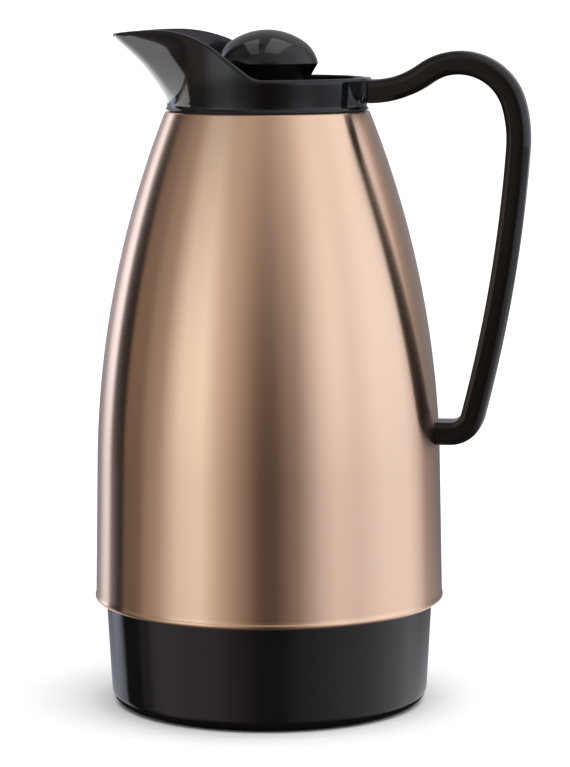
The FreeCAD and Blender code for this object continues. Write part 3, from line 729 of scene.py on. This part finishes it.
def with_lug(point, inset):
    """Moves an outline point out to the lug's outline where the lug stands proud of the bowl."""
    if point.x < 0.0 or abs(point.y) > LUG_REACH * point.x:
        return point
    direction = Vector((point.x, abs(point.y))).normalized()
    flat = (LUG_END - inset) / direction.x
    across = LUG_SPLAY.normalized()
    splayed = (Vector((LUG_END, LUG_HALF_WIDTH)).dot(across) - inset) / max(direction.dot(across), 0.1)
    share = max(LUG_BLEND - abs(flat - splayed), 0.0) / LUG_BLEND
    reach = min(flat, splayed) - share * share * LUG_BLEND / 4.0
    return point * (reach / point.length) if reach > point.length else point


def wall_inset(z):
    """How far the outside of the wall stands in from the rim's outline: a slight lean and a flared foot."""
    rise = z - COLLAR_FOOT
    lean = WALL_LEAN * max(1.0 - rise / LEAN_HEIGHT, 0.0) ** 2
    if rise < FOOT_FLARE:
        share = rise / FOOT_FLARE
        return lean * share * share * (3.0 - 2.0 * share)
    return lean


def outer_point(index, z, inset, lug=True):
    """Point on the collar's outside, drawn in by an inset, with or without the lug."""
    place = outline_point(index, z, inset + wall_inset(z))
    return with_lug(place, inset) if lug else place


def lug_edge_point(index, z, inset):
    """Point on the rounded lower edge of the lug, or on the plain wall away from the lug."""
    return with_lug(outer_point(index, z, 0.0, lug=False), inset)


def height_on_rim(index, inset):
    """Height where a line up the wall meets the rim."""
    low = COLLAR_FOOT + 4.0
    high = SPOUT_SECTIONS[-1][0]
    for _ in range(26):
        middle = (low + high) / 2.0
        outline = outline_point(index, middle, inset)
        if middle < rim_height(outline.x):
            low = middle
        else:
            high = middle
    return low


def floor_height(radius):
    """Height of the bowl's floor, a very flat cone."""
    return FLOOR_HEIGHT + (radius - FLOOR_START) * FLOOR_SLOPE


def outside_column(index):
    """Points up the outside of the wall, from the foot past the lug's lower edge to below the rim."""
    column = []
    low = COLLAR_FOOT + FOOT_EDGE
    for step in range(6):
        z = low + (LUG_FOOT - low) * step / 5
        column.append((outer_point(index, z, 0.0, lug=False), z))
    for inset, rise in ((LUG_EDGE, 0.0), (LUG_EDGE * 0.3, LUG_EDGE * 0.3)):
        column.append((lug_edge_point(index, LUG_FOOT + rise, inset), LUG_FOOT + rise))
    start = LUG_FOOT + LUG_EDGE
    end = height_on_rim(index, 0.0) - OUTER_RIM_ROUNDING
    for step in range(UPRIGHT_STEPS):
        z = start + (end - start) * step / UPRIGHT_STEPS
        column.append((outer_point(index, z, 0.0), z))
    return column


def rim_column(index):
    """Points over the rounded rim, from the outside to the inside."""
    column = []
    for angle in QUARTER:
        inset = OUTER_RIM_ROUNDING * (1 - math.cos(angle))
        z = height_on_rim(index, inset) - OUTER_RIM_ROUNDING * (1 - math.sin(angle))
        column.append((outer_point(index, z, inset), z))
    for angle in reversed(QUARTER):
        inset = COLLAR_WALL - INNER_RIM_ROUNDING * (1 - math.cos(angle))
        z = height_on_rim(index, inset) - INNER_RIM_ROUNDING * (1 - math.sin(angle))
        column.append((outline_point(index, z, inset), z))
    return column


def bowl_column(index, rim_z, outward):
    """Points down the inside of the wall, round the cove and over the floor to the throat's mouth."""
    column = []
    base = outline_point(index, COLLAR_FOOT + 3.0, COLLAR_WALL)
    cove_z = floor_height(base.length) + FLOOR_COVE
    for step in range(1, UPRIGHT_STEPS + 1):
        z = rim_z + (cove_z - rim_z) * step / UPRIGHT_STEPS
        column.append((outline_point(index, z, COLLAR_WALL), z))
    start = column[-1][0]
    for angle in QUARTER[1:]:
        place = start - outward * FLOOR_COVE * (1 - math.cos(angle))
        column.append((place, floor_height(place.length) + FLOOR_COVE * (1 - math.sin(angle))))
    floor_start = column[-1][0]
    for step in range(1, 7):
        place = floor_start.lerp(outward * (THROAT_INSIDE + THROAT_MOUTH_EDGE), step / 6)
        column.append((place, floor_height(place.length)))
    for angle in QUARTER[1:]:
        radius = THROAT_INSIDE + THROAT_MOUTH_EDGE * (1 - math.sin(angle))
        drop = THROAT_MOUTH_EDGE * (1 - math.cos(angle))
        column.append((outward * radius, floor_height(THROAT_INSIDE) - drop))
    return column


def throat_column(index, top, outward):
    """Points down the throat, round its lower end and back up to the collar's foot."""
    column = []
    low = THROAT_FOOT + THROAT_EDGE
    for step in range(1, 8):
        column.append((outward * THROAT_INSIDE, top + (low - top) * step / 7))
    column.append((outward * (THROAT_INSIDE + THROAT_EDGE), THROAT_FOOT))
    column.append((outward * (THROAT_OUTSIDE - THROAT_EDGE), THROAT_FOOT))
    column.append((outward * THROAT_OUTSIDE, low))
    for step in range(1, 6):
        column.append((outward * THROAT_OUTSIDE, THROAT_FOOT + (COLLAR_FOOT - THROAT_FOOT) * step / 5))
    last = outer_point(index, COLLAR_FOOT, FOOT_EDGE, lug=False)
    for share in (0.35, 0.7, 1.0):
        column.append(((outward * THROAT_OUTSIDE).lerp(last, share), COLLAR_FOOT))
    return column


def collar_column(index):
    """Points of one upright section of the collar, all the way round its thickness."""
    outward = outline_point(index, COLLAR_FOOT + 3.0, COLLAR_WALL).normalized()
    column = outside_column(index) + rim_column(index)
    column += bowl_column(index, column[-1][1], outward)
    column += throat_column(index, column[-1][1], outward)
    return column


def make_collar():
    """Bowl with spout, lug, floor and threaded throat."""
    form = bmesh.new()
    count = BOWL_STEPS + 2 * FLANK_STEPS + NOSE_STEPS
    columns = []
    for index in range(count):
        ring = []
        for place, z in collar_column(index):
            ring.append(form.verts.new((place.x * MM, place.y * MM, z * MM)))
        columns.append(ring)
    for index in range(count):
        first = columns[index]
        second = columns[(index + 1) % count]
        for row in range(len(first)):
            following = (row + 1) % len(first)
            form.faces.new((first[row], second[row], second[following], first[following]))
    for start in (20.0, 200.0):
        ridge(form, THROAT_INSIDE, crest=21.4, root_width=2.2, crest_width=1.4,
              lead=12.0, turns=0.7, start_z=222.5, start_angle=start)
    ridge(form, THROAT_OUTSIDE, crest=27.1, root_width=1.0, crest_width=0.6,
          lead=3.0, turns=2.6, start_z=224.0, start_angle=0.0)
    piece = finish_mesh("collar", form, "black_gloss_plastic", 42.0)
    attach(piece, "jug")
    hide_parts("spout_collar")


# ---------------------------------------------------------------- studio
# Colour of the soft surroundings by direction, in degrees round from the camera, + to its right
STUDIO_BANDS = (
    (-180, (0.32, 0.33, 0.38)), (-152, (0.46, 0.46, 0.52)), (-142, (1.20, 1.34, 1.66)),
    (-134, (1.38, 1.56, 1.92)), (-130, (0.0, 0.0, 0.0)), (-114, (0.0, 0.0, 0.0)),
    (-111, (0.27, 0.22, 0.18)), (-96, (0.22, 0.18, 0.15)), (-91, (0.34, 0.30, 0.27)),
    (-78, (0.42, 0.37, 0.34)), (-62, (1.24, 1.32, 1.35)), (-46, (1.42, 1.55, 1.58)),
    (-34, (0.86, 0.84, 0.80)), (-20, (0.42, 0.37, 0.33)), (-9, (0.12, 0.08, 0.06)),
    (-3, (0.03, 0.015, 0.01)), (4, (0.03, 0.015, 0.01)), (10, (0.15, 0.12, 0.10)), (20, (0.27, 0.25, 0.23)),
    (36, (0.96, 1.02, 1.14)), (46, (1.17, 1.26, 1.42)), (62, (0.98, 1.05, 1.19)), (80, (1.15, 1.28, 1.47)),
    (106, (1.10, 1.22, 1.40)), (118, (0.84, 0.84, 0.90)), (128, (0.34, 0.31, 0.32)),
    (140, (0.24, 0.25, 0.27)), (180, (0.32, 0.33, 0.38)),
)
# The same for what stands high above the object, and for what lies low round its foot
CEILING_BANDS = (
    (-180, (0.42, 0.42, 0.43)), (-136, (0.40, 0.40, 0.42)), (-128, (0.10, 0.09, 0.09)),
    (-113, (0.10, 0.09, 0.09)), (-104, (0.30, 0.28, 0.28)), (-90, (0.30, 0.28, 0.28)),
    (-55, (0.24, 0.22, 0.22)), (-25, (0.56, 0.52, 0.50)), (0, (0.56, 0.52, 0.50)),
    (22, (0.70, 0.68, 0.70)), (50, (0.88, 0.87, 0.90)), (90, (1.00, 1.01, 1.06)), (135, (0.60, 0.60, 0.62)),
    (180, (0.42, 0.42, 0.43)),
)
LOW_BANDS = (
    (-180, (0.66, 0.67, 0.77)), (-130, (0.66, 0.67, 0.77)), (-126, (0.03, 0.03, 0.03)),
    (-108, (0.03, 0.03, 0.03)), (-104, (0.17, 0.14, 0.14)), (-97, (0.20, 0.17, 0.17)),
    (-92, (0.45, 0.40, 0.39)), (-80, (0.68, 0.58, 0.56)), (-42, (0.62, 0.52, 0.50)),
    (-20, (0.26, 0.22, 0.21)), (-6, (0.08, 0.07, 0.06)), (8, (0.08, 0.07, 0.06)), (23, (0.30, 0.27, 0.26)),
    (47, (0.50, 0.46, 0.46)), (77, (0.72, 0.70, 0.74)), (97, (0.95, 0.95, 1.00)),
    (120, (1.05, 1.05, 1.12)), (135, (0.80, 0.80, 0.86)), (180, (0.80, 0.80, 0.86)),
)
DEEP_COLOUR = (0.04, 0.035, 0.035, 1.0)
# Gain of the studio bands by degrees of height: a dim gap just below level, where the panels end
HEIGHT_GAIN = (
    (-90, 0.70), (-9.5, 0.66), (-8.5, 0.45), (-5.9, 0.45), (-4.7, 1.00), (90, 1.00),
)
# Degrees of height between which one set of bands turns to the next
CEILING_BLEND = (2, 46)
LOW_BLEND = (-12.0, -16.5)
DEEP_BLEND = (-24, -52)


def direction_ramp(tree, share, bands):
    """Colour by direction round the object, from (degrees, colour) pairs."""
    stops = []
    for degrees, colour in bands:
        stops.append((degrees / 360.0 + 0.5, colour))
    return ramp(tree, share, stops)


def mix_by_height(tree, height, blend, first, second):
    """First colour, which turns to the second between two heights in degrees."""
    start, end = blend
    share = add_node(tree, "ShaderNodeMapRange", interpolation_type="SMOOTHSTEP")
    link(tree, height, share.inputs["Value"])
    share.inputs["From Min"].default_value = math.radians(start)
    share.inputs["From Max"].default_value = math.radians(end)
    mix = add_node(tree, "ShaderNodeMix", data_type="RGBA")
    link(tree, share.outputs[0], mix.inputs[0])
    link(tree, first, mix.inputs[6])
    link(tree, second, mix.inputs[7])
    return mix.outputs[2]


def make_world():
    """Soft studio surroundings: upright light panels, a ceiling, a lit table and a white backdrop."""
    world = bpy.data.worlds.new("studio")
    bpy.context.scene.world = world
    world.use_nodes = True
    tree = world.node_tree
    output = tree.nodes["World Output"]
    band_light = tree.nodes["Background"]
    place = add_node(tree, "ShaderNodeTexCoord")
    parts = add_node(tree, "ShaderNodeSeparateXYZ")
    link(tree, place.outputs["Generated"], parts.inputs[0])
    across = maths(tree, "MULTIPLY", parts.outputs["Y"], -1.0)
    angle = maths(tree, "ARCTAN2", parts.outputs["X"], across)
    angle = maths(tree, "SUBTRACT", angle, CAMERA_AZIMUTH)
    share = maths(tree, "FRACT", maths(tree, "ADD", maths(tree, "DIVIDE", angle, 2 * math.pi), 1.5))
    height = maths(tree, "ARCSINE", parts.outputs["Z"])
    level = maths(tree, "ADD", maths(tree, "DIVIDE", height, math.pi), 0.5)
    gain_stops = [(degrees / 180.0 + 0.5, (gain, gain, gain)) for degrees, gain in HEIGHT_GAIN]
    gains = ramp(tree, level, gain_stops)
    panels = add_node(tree, "ShaderNodeMix", data_type="RGBA", blend_type="MULTIPLY")
    panels.inputs[0].default_value = 1.0
    link(tree, direction_ramp(tree, share, STUDIO_BANDS), panels.inputs[6])
    link(tree, gains, panels.inputs[7])
    ceiling = direction_ramp(tree, share, CEILING_BANDS)
    low = direction_ramp(tree, share, LOW_BANDS)
    upper = mix_by_height(tree, height, CEILING_BLEND, panels.outputs[2], ceiling)
    lower = mix_by_height(tree, height, LOW_BLEND, upper, low)
    deep = add_node(tree, "ShaderNodeRGB")
    deep.outputs[0].default_value = DEEP_COLOUR
    whole = mix_by_height(tree, height, DEEP_BLEND, lower, deep.outputs[0])
    link(tree, whole, band_light.inputs["Color"])
    backdrop = add_node(tree, "ShaderNodeBackground")
    backdrop.inputs["Color"].default_value = (1.0, 1.0, 1.0, 1.0)
    path = add_node(tree, "ShaderNodeLightPath")
    choose = add_node(tree, "ShaderNodeMixShader")
    link(tree, path.outputs["Is Camera Ray"], choose.inputs[0])
    link(tree, band_light.outputs[0], choose.inputs[1])
    link(tree, backdrop.outputs[0], choose.inputs[2])
    link(tree, choose.outputs[0], output.inputs["Surface"])


def soft_light(name, location, target, width, height, brightness, takers):
    """Rectangular soft light aimed at a point, which only the named pieces take up."""
    data = bpy.data.lights.new(name, "AREA")
    data.shape = "RECTANGLE"
    data.size = width
    data.size_y = height
    data.energy = brightness * math.pi * width * height
    lamp = bpy.data.objects.new(name, data)
    bpy.context.scene.collection.objects.link(lamp)
    lamp.location = location
    aim = Vector(target) - Vector(location)
    lamp.rotation_mode = "QUATERNION"
    lamp.rotation_quaternion = aim.to_track_quat("-Z", "Y")
    lamp.visible_camera = False
    group = bpy.data.collections.new(name + "_takers")
    for taker in takers:
        group.objects.link(bpy.data.objects[taker])
    lamp.light_linking.receiver_collection = group


def around_camera(centre, degrees, height, distance):
    """Place at a distance from a centre, in degrees round from the camera's side and above level."""
    angle = CAMERA_AZIMUTH + math.radians(degrees)
    level = distance * math.cos(math.radians(height))
    rise = distance * math.sin(math.radians(height))
    return Vector(centre) + Vector((level * math.sin(angle), -level * math.cos(angle), rise))


FLOOR_REACH = 60.0
FLOOR_DROP = 0.0002            # the floor lies this far under the foot
SHADE_DROP = 0.0001
SHADE_RADIUS = 0.0645


def stage_sheet(name, form, drop, dark, light):
    """Matt sheet just under the foot, which is part of the stage and not of the jug."""
    mesh = bpy.data.meshes.new(name)
    form.to_mesh(mesh)
    form.free()
    sheet = bpy.data.objects.new(name, mesh)
    bpy.context.scene.collection.objects.link(sheet)
    sheet.location.z = -drop
    material, tree, shader = new_material(name, Roughness=0.9)
    shader.inputs["Specular IOR Level"].default_value = 0.0
    tone = ramp(tree, noise(tree, 3.0, 2.0), ((0.3, (dark, dark, dark)), (0.7, (light, light, light))))
    link(tree, tone, shader.inputs["Base Color"])
    mesh.materials.append(material)
    return sheet


def make_floor():
    """Wide pale floor, lit from above and left out of reflections."""
    form = bmesh.new()
    bmesh.ops.create_grid(form, x_segments=8, y_segments=8, size=FLOOR_REACH)
    floor = stage_sheet("floor", form, FLOOR_DROP, dark=0.86, light=0.88)
    floor.visible_glossy = False


def make_contact_shade():
    """Painted shade: a dark disc close under the foot, seen only in reflections, standing in for the
    floor's shade right by the foot.
    """
    form = bmesh.new()
    bmesh.ops.create_circle(form, cap_ends=True, radius=SHADE_RADIUS, segments=96)
    # the dark tone of this disc is painted shade, not a colour of the floor
    shade = stage_sheet("contact_shade", form, SHADE_DROP, dark=0.030, light=0.035)
    shade.visible_camera = False
    shade.visible_diffuse = False
    shade.visible_shadow = False


SKY_STRENGTH = 3.0
SKY_SPREAD = math.radians(75)
LIP_MIDDLE = Vector((-0.052, -0.012, 0.255))
GRIP_MIDDLE = Vector((0.090, 0.0, 0.170))
SHEET_AIM_RISE = 0.635         # how far above the lip the low sheet is aimed
PANE_HEIGHT = 1.26
PANE_LENGTH = 1.15
PANE_BRIGHTNESS = 0.95
# the two panes over the knob: place across the view, width
PANES = ((-0.405, 0.37), (0.265, 0.53))


def make_sky():
    """Wide soft light from straight above."""
    sun = bpy.data.lights.new("sky_panel", "SUN")
    sun.energy = SKY_STRENGTH
    sun.angle = SKY_SPREAD
    sky_panel = bpy.data.objects.new("sky_panel", sun)
    bpy.context.scene.collection.objects.link(sky_panel)
    sky_panel.location.z = 2.0
    sky_panel.visible_glossy = False


def make_lights():
    """Sky over everything, a low sheet for the spout, a strip for the handle and two panes for the knob."""
    make_sky()
    place = around_camera(LIP_MIDDLE, degrees=-142.0, height=-25.6, distance=0.372)
    above_lip = LIP_MIDDLE + Vector((0.0, 0.0, SHEET_AIM_RISE))
    soft_light("low_sheet", place, above_lip, width=0.90, height=0.466, brightness=2.2, takers=("collar",))
    place = around_camera(GRIP_MIDDLE, degrees=-107.0, height=14.0, distance=0.9)
    soft_light("bevel_strip", place, GRIP_MIDDLE, width=0.30, height=0.9, brightness=1.6,
               takers=("handle_bar",))
    for index, (across, width) in enumerate(PANES):
        place = Vector((across * math.cos(CAMERA_AZIMUTH), across * math.sin(CAMERA_AZIMUTH), PANE_HEIGHT))
        below = place - Vector((0.0, 0.0, 1.0))
        soft_light("pane_" + str(index), place, below, width, PANE_LENGTH, PANE_BRIGHTNESS, ("knob",))


make_shell()
make_base()
make_knob()
make_handle()
make_collar()
make_camera()
make_world()
make_floor()
make_contact_shade()
make_lights()

scene = bpy.context.scene
scene.view_settings.view_transform = "Standard"
